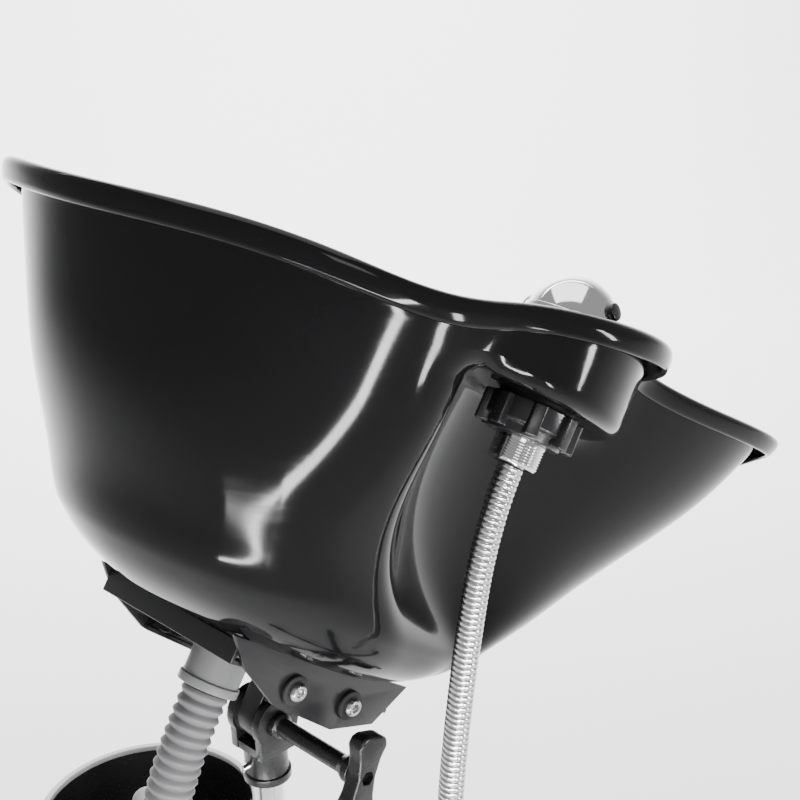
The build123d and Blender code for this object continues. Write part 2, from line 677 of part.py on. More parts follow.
def make_bucket_rim():
    """Pale edge ring pressed on the bucket."""
    return ring(BUCKET_TOP_RADIUS + 4, BUCKET_TOP_RADIUS - BUCKET_WALL, BUCKET_TOP, BUCKET_TOP + 7,
                BUCKET_X, BUCKET_Y)


def make_bail():
    """Wire handle of the bucket, lowered beside the rim."""
    reach = BUCKET_TOP_RADIUS + 10
    pin = BUCKET_TOP_RADIUS + 1.5
    arc = CenterArc((0, 0, 0), reach, -90, 180)
    wire = Polyline((0, -pin, 0), (0, -reach, 0))
    shape = sweep(Plane(origin=arc @ 0, z_dir=arc % 0) * Circle(3), path=arc)
    for s in (-1, 1):
        shape += Pos(0, s * (pin + reach) / 2, 0) * Rot(90, 0, 0) * Cylinder(3, reach - pin + 3)
    return bail_place() * Rot(0, BAIL_REST, 0) * shape


def make_cord(points, diameter, bore=0.0):
    """Round cord along hand-chosen points, with straight runs and tangent arcs."""
    runs = [(Vector(b) - Vector(a)).length for a, b in zip(points, points[1:])]
    radii = []
    for i in range(1, len(points) - 1):
        before = (Vector(points[i]) - Vector(points[i - 1])).normalized()
        after = (Vector(points[i + 1]) - Vector(points[i])).normalized()
        half_turn = radians(before.get_angle(after)) / 2
        radii.append(0.45 * min(runs[i - 1], runs[i]) / tan(half_turn))
    print("cord radii", [round(r) for r in radii], "smallest allowed", 5 * diameter)
    route = FilletPolyline(*points, radius=radii)
    start = Plane(origin=route @ 0, z_dir=route % 0)
    section = start * Circle(diameter / 2)
    if bore:
        section -= start * Circle(bore / 2)
    cord = sweep(section, path=route)
    area = pi * (diameter ** 2 - bore ** 2) / 4
    print("cord length", round(route.length), "volume ratio", round(cord.volume / (area * route.length), 4))
    return cord


os.makedirs("parts", exist_ok=True)

BASIN_FRAME = {
    "basin": make_basin(),
    "hose_guide": make_hose_guide(),
    "wing_nut": make_wing_nut(),
    "guide_gasket": make_gasket(),
    "sprayer_body": make_sprayer_body(),
    "sprayer_cap": make_sprayer_cap(),
    "sprayer_seam_ring": make_seam_ring(),
    "spray_face": make_spray_face(),
    "flow_button": make_button(),
    "shower_hose_top": make_hose_top(),
    "blank_plug": make_blank_plug(),
    "plug_nut": make_plug_nut(),
    "drain_flange": make_drain_flange(),
    "drain_seal": make_drain_seal(),
    "drain_nut": make_drain_nut(),
    "drain_cuff": make_cuff(),
    "hair_strainer": make_strainer(),
    "side_plate_near": make_side_plate(-1),
    "side_plate_far": make_side_plate(1),
    "rear_cross_bar": make_cross_bar(-112, -97, 38, 52),
    "front_cross_bar": make_cross_bar(26, 36, 34, 50),
    "pivot_bridge": make_bridge(),
    "bracket_grommets": make_grommets(),
    "bracket_screws": make_screws(),
}
HEAD_FRAME = {
    "tilt_socket": make_tilt_socket(),
    "socket_screw": make_socket_screw(),
    "friction_washers": make_washers(),
    "clamp_nut": make_clamp_nut(),
    "tilt_handle": make_tilt_handle(),
}
FLOOR_FRAME = {
    "inner_tube": make_inner_tube(),
    "tube_glide": make_glide(),
    "outer_tube": make_outer_tube(),
    "column_collar": make_collar(),
    "height_knob": make_height_knob(),
    "star_base": make_base(),
    "waste_bucket": make_bucket(),
    "bucket_rim": make_bucket_rim(),
    "bucket_handle": make_bail(),
    "shower_hose": make_cord(SHOWER_ROUTE, HOSE_OD),
    "drain_hose_upper": make_cord(DRAIN_ROUTE_UPPER, DRAIN_HOSE_OD, DRAIN_HOSE_OD - 2 * DRAIN_HOSE_WALL),
    "drain_hose_lower": make_cord(DRAIN_ROUTE_LOWER, DRAIN_HOSE_OD, DRAIN_HOSE_OD - 2 * DRAIN_HOSE_WALL),
}
for number in range(1, LEG_COUNT + 1):
    FLOOR_FRAME[f"castor_fork_{number}"] = make_castor_fork(number - 1)
    FLOOR_FRAME[f"castor_wheels_{number}"] = make_castor_wheels(number - 1)

for name, shape in BASIN_FRAME.items():
    save(tilted(shape), name)
for name, shape in HEAD_FRAME.items():
    save(raised(shape), name)
for name, shape in FLOOR_FRAME.items():
    save(shape, name)
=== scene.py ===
import json
import math
import bmesh
import bpy
import numpy as np
from mathutils import Matrix, Vector


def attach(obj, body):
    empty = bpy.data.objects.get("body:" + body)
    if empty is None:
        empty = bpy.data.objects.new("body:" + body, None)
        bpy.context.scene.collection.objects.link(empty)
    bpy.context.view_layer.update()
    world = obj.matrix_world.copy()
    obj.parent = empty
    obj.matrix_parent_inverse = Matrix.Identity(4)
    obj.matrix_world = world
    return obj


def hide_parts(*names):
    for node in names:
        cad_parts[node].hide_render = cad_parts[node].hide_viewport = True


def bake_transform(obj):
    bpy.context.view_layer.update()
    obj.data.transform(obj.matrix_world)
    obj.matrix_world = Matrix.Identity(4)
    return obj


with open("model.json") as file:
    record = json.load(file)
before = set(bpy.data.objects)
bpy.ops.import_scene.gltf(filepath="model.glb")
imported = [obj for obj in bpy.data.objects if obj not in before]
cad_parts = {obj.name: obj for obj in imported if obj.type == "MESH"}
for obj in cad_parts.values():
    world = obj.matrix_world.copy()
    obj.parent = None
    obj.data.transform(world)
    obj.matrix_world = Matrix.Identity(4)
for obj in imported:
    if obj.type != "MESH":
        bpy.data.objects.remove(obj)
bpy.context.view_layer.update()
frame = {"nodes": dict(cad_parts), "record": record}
print("frame loaded")

mm = 0.001
pivot = {"height": 0.8, "tilt": 36.5}
upright = Matrix.Translation((0, 0, pivot["height"]))
tilted = upright @ Matrix.Rotation(math.radians(pivot["tilt"]), 4, "Y")  # the level basin frame, laid back


# node graphs, for shaders and for geometry

class Value:
    def __init__(self, tree, socket):
        self.tree = tree
        self.socket = socket

    def combine(self, operation, other, flip=False):
        node = self.tree.nodes.new("ShaderNodeMath")
        node.operation = operation
        pair = (other, self) if flip else (self, other)
        for slot, item in zip(node.inputs, pair):
            if isinstance(item, Value):
                self.tree.links.new(item.socket, slot)
            else:
                slot.default_value = item
        return Value(self.tree, node.outputs[0])

    def __add__(self, other):
        return self.combine("ADD", other)

    __radd__ = __add__

    def __mul__(self, other):
        return self.combine("MULTIPLY", other)

    __rmul__ = __mul__

    def __sub__(self, other):
        return self.combine("SUBTRACT", other)

    def __rsub__(self, other):
        return self.combine("SUBTRACT", other, flip=True)

    def __truediv__(self, other):
        return self.combine("DIVIDE", other)

    def __pow__(self, other):
        return self.combine("POWER", other)


class Graph:
    def __init__(self, tree):
        self.tree = tree

    def node(self, kind, settings=None, sockets=None, out=0):
        made = self.tree.nodes.new(kind)
        for key, value in (settings or {}).items():
            if key == "stops":
                for stop, (place, shade) in zip(made.color_ramp.elements, value):
                    stop.position = place
                    stop.color = (shade, shade, shade, 1)
            else:
                setattr(made, key, value)
        for key, value in (sockets or {}).items():
            if isinstance(value, Value):
                self.tree.links.new(value.socket, made.inputs[key])
            else:
                made.inputs[key].default_value = value
        return Value(self.tree, made.outputs[out]) if len(made.outputs) else made


# finishes: each is worked out from the object's own coordinates, in metres

def mixColour(graph, factor, first, second):
    return graph.node("ShaderNodeMix", {"data_type": "RGBA"}, {0: factor, 6: first, 7: second}, out=2)


def makeFinish(name, look):
    material = bpy.data.materials.new(name)
    material.use_nodes = True
    graph = Graph(material.node_tree)
    shader = material.node_tree.nodes["Principled BSDF"]
    place = graph.node("ShaderNodeTexCoord", out=3)
    broad = graph.node("ShaderNodeTexNoise", {}, {"Vector": place, "Scale": look["broad"], "Detail": 3.0})
    grain = graph.node("ShaderNodeTexNoise", {}, {"Vector": place, "Scale": look["grain"], "Detail": 4.0})
    stretched = graph.node("ShaderNodeMapping", {},
                           {"Vector": place, "Scale": look.get("stretch", (1, 1, 9))})
    scuff = graph.node("ShaderNodeTexNoise", {}, {"Vector": stretched, "Scale": look["scuff"], "Detail": 6.0})
    scuffed = graph.node("ShaderNodeValToRGB", {"stops": ((0.56, 0.0), (0.80, 1.0))}, {0: scuff})
    tint = mixColour(graph, broad, (*look["colour"], 1), (*look["second"], 1))
    rough = look["rough"] + look["roughSpread"] * (broad - 0.5) + look["scuffRough"] * scuffed
    if "groove" in look:  # painted shade: darker in the valleys of a hose or a thread, and duller there
        valley = graph.node("ShaderNodeAttribute", {"attribute_name": "valley"}, out=2)
        tint = mixColour(graph, valley * look["groove"], tint, (*look["valley"], 1))
        rough = rough + 0.25 * valley
    height = grain * look["grainHeight"] + scuffed * look["scuffHeight"]
    bump = graph.node("ShaderNodeBump", {}, {"Height": height, "Strength": look["bump"], "Distance": 0.0004})
    links = material.node_tree.links
    links.new(tint.socket, shader.inputs["Base Color"])
    links.new(rough.socket, shader.inputs["Roughness"])
    links.new(bump.socket, shader.inputs["Normal"])
    shader.inputs["Metallic"].default_value = look.get("metallic", 0.0)
    shader.inputs["Coat Weight"].default_value = look.get("coat", 0.0)
    shader.inputs["Coat Roughness"].default_value = 0.03
    shader.inputs["Specular IOR Level"].default_value = look.get("specular", 0.5)
    return material


looks = {
    "glossBlack": {"colour": (0.004, 0.004, 0.0045), "second": (0.006, 0.006, 0.0065), "rough": 0.07,
                   "roughSpread": 0.05, "broad": 7, "grain": 420, "grainHeight": 0.2, "scuff": 26,
                   "scuffRough": 0.05, "scuffHeight": 0.15, "bump": 0.04, "specular": 0.19},
    "chrome": {"colour": (0.86, 0.86, 0.87), "second": (0.78, 0.78, 0.79), "rough": 0.09, "roughSpread": 0.06,
               "broad": 20, "grain": 600, "grainHeight": 0.2, "scuff": 60, "scuffRough": 0.10,
               "scuffHeight": 0.2,
               "bump": 0.05, "metallic": 1.0},
    # the valley colours of hoseChrome, hoseGrey and steel are painted shade for their grooves
    "hoseChrome": {"colour": (0.84, 0.84, 0.85), "second": (0.74, 0.74, 0.75), "rough": 0.16,
                   "roughSpread": 0.08,
                   "broad": 18, "grain": 500, "grainHeight": 0.2, "scuff": 60, "scuffRough": 0.08,
                   "scuffHeight": 0.1, "bump": 0.05, "metallic": 1.0, "groove": 0.9,
                   "valley": (0.12, 0.12, 0.125)},
    "hoseGrey": {"colour": (0.22, 0.22, 0.225), "second": (0.19, 0.19, 0.195), "rough": 0.42,
                 "roughSpread": 0.10,
                 "broad": 24, "grain": 700, "grainHeight": 0.5, "scuff": 40, "scuffRough": 0.10,
                 "scuffHeight": 0.2, "bump": 0.12, "groove": 0.7, "valley": (0.14, 0.14, 0.145)},
    "greyPlastic": {"colour": (0.25, 0.25, 0.255), "second": (0.22, 0.22, 0.225), "rough": 0.38,
                    "roughSpread": 0.08, "broad": 24, "grain": 900, "grainHeight": 0.5, "scuff": 44,
                    "scuffRough": 0.08, "scuffHeight": 0.2, "bump": 0.12},
    "blackPlastic": {"colour": (0.009, 0.009, 0.010), "second": (0.013, 0.013, 0.014), "rough": 0.27,
                     "roughSpread": 0.10, "broad": 30, "grain": 1100, "grainHeight": 0.8, "scuff": 50,
                     "scuffRough": 0.14, "scuffHeight": 0.2, "bump": 0.22},
    "rubber": {"colour": (0.010, 0.010, 0.010), "second": (0.015, 0.015, 0.015), "rough": 0.72,
               "roughSpread": 0.12, "broad": 40, "grain": 900, "grainHeight": 0.9, "scuff": 60,
               "scuffRough": 0.08, "scuffHeight": 0.3, "bump": 0.30},
    "blackPaint": {"colour": (0.010, 0.010, 0.011), "second": (0.015, 0.015, 0.016), "rough": 0.30,
                   "roughSpread": 0.10, "broad": 16, "grain": 800, "grainHeight": 0.7, "scuff": 36,
                   "scuffRough": 0.16, "scuffHeight": 0.3, "bump": 0.20},
    "steel": {"colour": (0.60, 0.60, 0.60), "second": (0.48, 0.48, 0.48), "rough": 0.28, "roughSpread": 0.10,
              "broad": 50, "grain": 900, "grainHeight": 0.4, "scuff": 80, "scuffRough": 0.16,
              "scuffHeight": 0.3,
              "bump": 0.10, "metallic": 1.0, "groove": 0.6, "valley": (0.16, 0.16, 0.16)},
    "wheelGrey": {"colour": (0.075, 0.075, 0.078), "second": (0.055, 0.055, 0.058), "rough": 0.55,
                  "roughSpread": 0.12, "broad": 34, "grain": 800, "grainHeight": 0.8, "scuff": 48,
                  "scuffRough": 0.18, "scuffHeight": 0.3, "bump": 0.22},
    # painted reflection: a light grey colour on the bucket rim stands in for the white light that its glossy
    # black top reflects
    "rimGrey": {"colour": (0.42, 0.42, 0.425), "second": (0.36, 0.36, 0.365), "rough": 0.45,
                "roughSpread": 0.08,
                "broad": 20, "grain": 700, "grainHeight": 0.5, "scuff": 40, "scuffRough": 0.10,
                "scuffHeight": 0.2, "bump": 0.12},
    "paleFloor": {"colour": (0.86, 0.86, 0.86), "second": (0.84, 0.84, 0.84), "rough": 0.70,
                  "roughSpread": 0.05,
                  "broad": 2, "grain": 60, "grainHeight": 0.2, "scuff": 4, "scuffRough": 0.04,
                  "scuffHeight": 0.1,
                  "bump": 0.02},
}
finishes = {name: makeFinish(name, look) for name, look in looks.items()}
print("finishes made:", len(finishes))


def addPiece(name, mesh, finish, body=None, replaced=(), smooth=True):
    piece = bpy.data.objects.new(name, mesh)
    bpy.context.scene.collection.objects.link(piece)
    if finish and not mesh.materials:
        mesh.materials.append(finishes[finish])
    if smooth:
        mesh.polygons.foreach_set("use_smooth", [True] * len(mesh.polygons))
    if body:
        settle(piece, body, replaced)
    return piece


def settle(piece, body, replaced=()):
    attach(piece, body)
    if replaced:
        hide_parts(*replaced)
    return piece


def sharpen(mesh, angle=35):  # smooth faces that break at the real edges
    mesh.polygons.foreach_set("use_smooth", [True] * len(mesh.polygons))
    mesh.set_sharp_from_angle(angle=math.radians(angle))


# geometry trees

def startTree(name, sockets):
    tree = bpy.data.node_groups.new(name, "GeometryNodeTree")
    tree.interface.new_socket("Geometry", in_out="OUTPUT", socket_type="NodeSocketGeometry")
    tree.interface.new_socket("Geometry", in_out="INPUT", socket_type="NodeSocketGeometry")
    for label, kind, value in sockets:
        made = tree.interface.new_socket(label, in_out="INPUT", socket_type="NodeSocket" + kind)
        if value is not None:
            made.default_value = value
    graph = Graph(tree)
    source = tree.nodes.new("NodeGroupInput")
    inputs = {slot.name: Value(tree, slot) for slot in source.outputs if slot.name}
    return tree, graph, inputs


def endTree(tree, graph, geometry, finish):
    real = graph.node("GeometryNodeRealizeInstances", {}, {"Geometry": geometry})
    done = graph.node("GeometryNodeSetMaterial", {}, {"Geometry": real, "Material": finish})
    output = tree.nodes.new("NodeGroupOutput")
    tree.links.new(done.socket, output.inputs[0])


def runTree(name, mesh, tree, values):
    piece = bpy.data.objects.new(name, mesh)
    bpy.context.scene.collection.objects.link(piece)
    modifier = piece.modifiers.new("build", "NODES")
    modifier.node_group = tree
    for item in tree.interface.items_tree:
        if item.in_out == "INPUT" and item.name in values:
            modifier[item.identifier] = values[item.name]
    bpy.context.view_layer.update()
    ready = piece.evaluated_get(bpy.context.evaluated_depsgraph_get())
    plain = bpy.data.meshes.new_from_object(ready)
    piece.modifiers.clear()
    piece.data = plain
    return piece


def ribbedTubeTree():  # a tube along the given line, grooved in a spiral or in rings
    tree, graph, put = startTree("ribbedTube", (
        ("Radius", "Float", 0.0075), ("Depth", "Float", 0.001), ("Pitch", "Float", 0.003),
        ("Spiral", "Float", 1.0), ("Crown", "Float", 3.0), ("Step", "Float", 0.0004), ("Sides", "Int", 24),
        ("Finish", "Material", None)))
    line = graph.node("GeometryNodeMeshToCurve", {}, {"Mesh": put["Geometry"]})
    line = graph.node("GeometryNodeResampleCurve", {"mode": "LENGTH"}, {"Curve": line, "Length": put["Step"]})
    along = graph.node("GeometryNodeSplineParameter", out=1)
    kept = graph.tree.nodes.new("GeometryNodeStoreNamedAttribute")
    kept.data_type, kept.domain = "FLOAT", "POINT"
    kept.inputs["Name"].default_value = "alongLine"
    graph.tree.links.new(line.socket, kept.inputs["Geometry"])
    graph.tree.links.new(along.socket, kept.inputs["Value"])
    ring = graph.node("GeometryNodeCurvePrimitiveCircle", {},
                      {"Resolution": put["Sides"], "Radius": put["Radius"]})
    turn = graph.node("GeometryNodeSplineParameter", out=0)
    ringKept = graph.tree.nodes.new("GeometryNodeStoreNamedAttribute")
    ringKept.data_type, ringKept.domain = "FLOAT", "POINT"
    ringKept.inputs["Name"].default_value = "aroundLine"
    graph.tree.links.new(ring.socket, ringKept.inputs["Geometry"])
    graph.tree.links.new(turn.socket, ringKept.inputs["Value"])
    tube = graph.node("GeometryNodeCurveToMesh", {}, {
        "Curve": Value(tree, kept.outputs[0]), "Profile Curve": Value(tree, ringKept.outputs[0]),
        "Fill Caps": True})
    far = graph.node("GeometryNodeInputNamedAttribute", {}, {"Name": "alongLine"})
    around = graph.node("GeometryNodeInputNamedAttribute", {}, {"Name": "aroundLine"})
    phase = graph.node("ShaderNodeMath", {"operation": "FRACT"},
                       {0: far / put["Pitch"] + around * put["Spiral"] + 8.0})
    swing = graph.node("ShaderNodeMath", {"operation": "ABSOLUTE"}, {0: phase * 2.0 - 1.0})
    valley = swing ** put["Crown"]
    away = graph.node("ShaderNodeVectorMath", {"operation": "SCALE"},
                      {0: graph.node("GeometryNodeInputNormal"), "Scale": valley * put["Depth"] * -1.0})
    shaped = graph.node("GeometryNodeSetPosition", {}, {"Geometry": tube, "Offset": away})
    marked = graph.tree.nodes.new("GeometryNodeStoreNamedAttribute")
    marked.data_type, marked.domain = "FLOAT", "POINT"
    marked.inputs["Name"].default_value = "valley"
    graph.tree.links.new(shaped.socket, marked.inputs["Geometry"])
    graph.tree.links.new(valley.socket, marked.inputs["Value"])
    smooth = graph.node("GeometryNodeSetShadeSmooth", {}, {"Geometry": Value(tree, marked.outputs[0])})
    endTree(tree, graph, smooth, put["Finish"])
    return tree


def aroundTree():  # the given part, repeated on a circle about Z, then set in place
    tree, graph, put = startTree("around", (
        ("Count", "Int", 6), ("Radius", "Float", 0.02), ("Offset", "Vector", None), ("Turn", "Vector", None),
        ("Finish", "Material", None)))
    circle = graph.node("GeometryNodeMeshCircle", {}, {"Vertices": put["Count"], "Radius": put["Radius"]})
    facing = graph.node("FunctionNodeAlignRotationToVector", {"axis": "X"},
                        {"Vector": graph.node("GeometryNodeInputPosition")})
    repeated = graph.node("GeometryNodeInstanceOnPoints", {}, {
        "Points": circle, "Instance": put["Geometry"], "Rotation": facing})
    real = graph.node("GeometryNodeRealizeInstances", {}, {"Geometry": repeated})
    moved = graph.node("GeometryNodeTransform", {}, {
        "Geometry": real, "Translation": put["Offset"], "Rotation": put["Turn"]})
    endTree(tree, graph, moved, put["Finish"])
    return tree


ribbedTube = ribbedTubeTree()
around = aroundTree()
print("geometry trees made")


# camera

shot = {"place": (-0.499, -0.680, 1.357), "heading": 43.0, "down": 22.1, "roll": -2.6, "lens": 68.04}


def makeCamera():
    heading, down, roll = (math.radians(shot[key]) for key in ("heading", "down", "roll"))
    right = Vector((math.cos(heading), -math.sin(heading), 0))
    back = Vector((-math.sin(heading) * math.cos(down), -math.cos(heading) * math.cos(down), math.sin(down)))
    up = back.cross(right)
    rolledRight = right * math.cos(roll) + up * math.sin(roll)
    rolledUp = up * math.cos(roll) - right * math.sin(roll)
    data = bpy.data.cameras.new("camera")
    data.lens = shot["lens"]
    data.sensor_width = 36
    data.clip_end = 60
    camera = bpy.data.objects.new("camera", data)
    bpy.context.scene.collection.objects.link(camera)
    turned = Matrix((rolledRight, rolledUp, back)).transposed().to_4x4()
    camera.matrix_world = Matrix.Translation(shot["place"]) @ turned
    bpy.context.scene.camera = camera


makeCamera()
print("camera set")


# hoses

hoses = {
    "showerHose": {"route": [(60, -172, 1018), (36, -172, 986), (14, -172, 906), (-6, -172, 790),
                             (-10, -172, 600),
                             (-6, -172, 400), (-8, -172, 170)],
                   "size": 15.0, "length": 0.86, "depth": 0.9, "pitch": 3.3, "spiral": 1.0, "crown": 4.0,
                   "step": 0.45, "sides": 24, "finish": "hoseChrome", "node": "shower_hose",
                   "slot": "hose_chrome",
                   "bodies": ("bowl", "column"), "start": (0, -0.172, 0.96), "end": (0, -0.172, 0.46)},
    "drainHoseUpper": {"route": [(-41, 0, 840), (-86, 0, 779), (-84, 24, 660), (-57, 77, 602)],
                       "size": 31.0, "length": 0.275, "depth": 2.4, "pitch": 7.0, "spiral": 0.0, "crown": 1.4,
                       "step": 0.7, "sides": 40, "finish": "hoseGrey", "node": "drain_hose_upper",
                       "slot": "hose_grey", "bodies": ("bowl", "column"), "start": (-0.045, 0, 0.83),
                       "end": (-0.06, 0.07, 0.62)},
    "drainHoseLower": {"route": [(-56.8, 77.4, 601.6), (-30, 130, 545), (60, 270, 470), (150, 410, 420),
                                 (205, 500, 370), (240, 560, 270), (246, 572, 170)],
                       "size": 31.0, "length": 0.772, "depth": 2.4, "pitch": 7.0, "spiral": 0.0, "crown": 1.4,
                       "step": 0.8, "sides": 40, "finish": "hoseGrey", "node": "drain_hose_lower",
                       "slot": "hose_grey", "bodies": ("column", "base"), "start": (-0.0568, 0.0774, 0.6),
                       "end": (0.205, 0.5, 0.37)},
}


def routeLine(route):  # the smooth line that the hose follows
    curve = bpy.data.curves.new("route", "CURVE")
    curve.dimensions = "3D"
    spline = curve.splines.new("NURBS")
    spline.points.add(len(route) - 1)
    for point, place in zip(spline.points, route):
        point.co = (*(value * mm for value in place), 1)
    spline.order_u = 3
    spline.use_endpoint_u = True
    curve.resolution_u = 48
    holder = bpy.data.objects.new("route", curve)
    bpy.context.scene.collection.objects.link(holder)
    bpy.context.view_layer.update()
    line = bpy.data.meshes.new_from_object(holder.evaluated_get(bpy.context.evaluated_depsgraph_get()))
    bpy.data.objects.remove(holder)
    return line


def makeHose(name, hose):
    line = routeLine(hose["route"])
    path = [tuple(vertex.co) for vertex in line.vertices]
    piece = runTree(name, line, ribbedTube, {
        "Radius": hose["size"] * mm / 2, "Depth": hose["depth"] * mm, "Pitch": hose["pitch"] * mm,
        "Spiral": hose["spiral"], "Crown": hose["crown"], "Step": hose["step"] * mm, "Sides": hose["sides"],
        "Finish": finishes[hose["finish"]]})
    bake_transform(piece)
    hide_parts(hose["node"])
    return piece, path


hosePieces = {name: makeHose(name, hose) for name, hose in hoses.items()}
for name, (piece, path) in hosePieces.items():
    print(name, len(piece.data.polygons), "faces",
          round(sum(math.dist(a, b) for a, b in zip(path, path[1:])), 4), "m")


# turned and boxed shapes, drawn in millimetres and set in place

def placedMesh(name, bm, place):
    bmesh.ops.remove_doubles(bm, verts=bm.verts, dist=0.002)
    bmesh.ops.recalc_face_normals(bm, faces=bm.faces)
    bm.transform(place @ Matrix.Scale(mm, 4))
    mesh = bpy.data.meshes.new(name)
    bm.to_mesh(mesh)
    bm.free()
    return mesh


def turned(name, profile, place, sides=64):  # closed profile of (radius, level), turned about Z
    bm = bmesh.new()
    rows = []
    for radius, level in profile:
        if radius < 0.001:
            rows.append([bm.verts.new((0, 0, level))])
            continue
        rows.append([bm.verts.new((radius * math.cos(2 * math.pi * i / sides),
                                   radius * math.sin(2 * math.pi * i / sides), level)) for i in range(sides)])
    pairs = list(zip(rows, rows[1:]))
    if len(rows[0]) > 1 and len(rows[-1]) > 1:
        pairs.append((rows[-1], rows[0]))
    for low, high in pairs:
        for i in range(sides):
            j = (i + 1) % sides
            corners = []
            for vertex in (low[i % len(low)], low[j % len(low)], high[j % len(high)], high[i % len(high)]):
                if vertex not in corners:
                    corners.append(vertex)
            if len(corners) > 2:
                bm.faces.new(corners)
    return placedMesh(name, bm, place)


def softened(profile, radius=0.8, steps=3):  # rounds the corners of a closed profile
    out = []
    count = len(profile)
    for i, point in enumerate(profile):
        here, before, after = (Vector(p) for p in (point, profile[i - 1], profile[(i + 1) % count]))
        if here.x < 0.001 or (before - here).length < 0.01 or (after - here).length < 0.01:
            out.append(tuple(here))
            continue
        first = here + (before - here).normalized() * min(radius, (before - here).length * 0.45)
        last = here + (after - here).normalized() * min(radius, (after - here).length * 0.45)
        for k in range(steps + 1):
            t = k / steps
            out.append(tuple(first * (1 - t) ** 2 + here * 2 * t * (1 - t) + last * t * t))
    return out


def extruded(name, outline, low, high, place, bevel=0.6, steps=2):  # flat outline in X-Y, extruded along Z
    bm = bmesh.new()
    bottom = [bm.verts.new((x, y, low)) for x, y in outline]
    face = bm.faces.new(bottom)
    grown = bmesh.ops.extrude_face_region(bm, geom=[face])
    for item in grown["geom"]:
        if isinstance(item, bmesh.types.BMVert):
            item.co.z = high
    bmesh.ops.recalc_face_normals(bm, faces=bm.faces)
    if bevel:
        bmesh.ops.bevel(bm, geom=list(bm.edges), offset=bevel, segments=steps, profile=0.5, affect="EDGES",
                        clamp_overlap=True)
    return placedMesh(name, bm, place)


# basin

basin = {
    "columns": 440, "wall": 5.0, "underLip": 17.0,
    "ledgeLevel": 240.0, "ledgeRoot": 7.0, "ledgeEdge": 8.5, "drainX": -57.0, "drainRadius": 19.3,
    "notchRadius": 105.0, "notchCentre": 372.0,
    "levels": {
        55: [(-150, 0), (-136, 46), (-108, 82), (-78, 97), (-50, 102), (-25, 100), (0, 92), (20, 80),
             (38, 62),
             (52, 34), (58, 0)],
        72: [(-178, 0), (-163, 56), (-128, 98), (-95, 115), (-62, 122), (-30, 119), (2, 112), (30, 99),
             (56, 76),
             (74, 42), (80, 0)],
        105: [(-205, 0), (-190, 62), (-153, 110), (-120, 127), (-90, 132), (-58, 122), (-16, 106), (38, 100),
              (85, 92), (120, 56), (132, 0)],
        150: [(-240, 0), (-223, 68), (-182, 120), (-152, 139), (-122, 144), (-90, 122), (-46, 101), (38, 100),
              (125, 97), (166, 62), (180, 0)],
        200: [(-268, 0), (-250, 75), (-207, 133), (-174, 156), (-140, 163), (-108, 132), (-60, 108),
              (55, 108),
              (165, 107), (208, 74), (224, 0)],
        250: [(-293, 0), (-275, 78), (-232, 142), (-194, 168), (-156, 177), (-118, 144), (-65, 116),
              (70, 116),
              (200, 118), (245, 86), (262, 0)],
        300: [(-316, 0), (-298, 82), (-252, 148), (-212, 175), (-170, 188), (-124, 152), (-68, 124),
              (85, 124),
              (225, 126), (272, 94), (290, 0)],
        345: [(-334, 0), (-315, 85), (-270, 153), (-226, 181), (-180, 195), (-128, 158), (-70, 130),
              (90, 130),
              (245, 132), (294, 100), (312, 0)]},
    "rim": [(-345, 232), (-311, 242), (-285, 252), (-240, 259), (-184, 264), (-146, 280), (-100, 296),
            (-44, 302),
            (36, 301), (100, 301), (179, 308), (265, 316), (345, 318)],
    "ledge": [(-152, 90), (-143, 178), (-122, 206), (-92, 214), (-48, 207), (-12, 183), (20, 150), (34, 90)],
}


class Spline:  # cubic through given values; closed ones come back to their first value
    def __init__(self, knots, values, closed=False):
        knots = np.asarray(knots, float)
        values = np.asarray(values, float)
        count = len(values)
        gaps = np.diff(knots)
        system = np.zeros((count, count))
        right = np.zeros_like(values)
        for i in range(count):
            if not closed and i in (0, count - 1):
                system[i, i] = 1
                continue
            before, after = gaps[i - 1], gaps[i]
            system[i, i - 1] += before
            system[i, i] += 2 * (before + after)
            system[i, (i + 1) % count] += after
            right[i] = 6 * ((values[(i + 1) % count] - values[i]) / after
                            - (values[i] - values[i - 1]) / before)
        self.bend = np.linalg.solve(system, right.reshape(count, -1)).reshape(values.shape)
        self.knots, self.values, self.closed = knots, values, closed
        if closed:
            self.bend = np.concatenate([self.bend, self.bend[:1]])
            self.values = np.concatenate([values, values[:1]])

    def at(self, places, columns=None):
        places = np.asarray(places, float)
        i = np.clip(np.searchsorted(self.knots, places, side="right") - 1, 0, len(self.knots) - 2)
        gap = self.knots[i + 1] - self.knots[i]
        a, b = (self.knots[i + 1] - places) / gap, (places - self.knots[i]) / gap
        low, high = (i, i + 1) if columns is None else ((i, columns), (i + 1, columns))
        v0, v1, m0, m1 = self.values[low], self.values[high], self.bend[low], self.bend[high]
        while a.ndim < v0.ndim:
            a, b, gap = a[..., None], b[..., None], gap[..., None]
        return a * v0 + b * v1 + ((a ** 3 - a) * m0 + (b ** 3 - b) * m1) * gap ** 2 / 6


def lineKnots(points):
    steps = np.linalg.norm(np.diff(np.asarray(points, float), axis=0), axis=1)
    return np.concatenate([[0], np.cumsum(steps)])


def ease(value):
    value = np.clip(value, 0, 1)
    return value * value * (3 - 2 * value)


def blurred(values, reach):  # evens out values around the closed ring of columns
    weights = np.exp(-0.5 * (np.arange(-3 * reach, 3 * reach + 1) / reach) ** 2)
    weights /= weights.sum()
    return sum(w * np.roll(values, k, axis=0) for w, k in zip(weights, range(-3 * reach, 3 * reach + 1)))


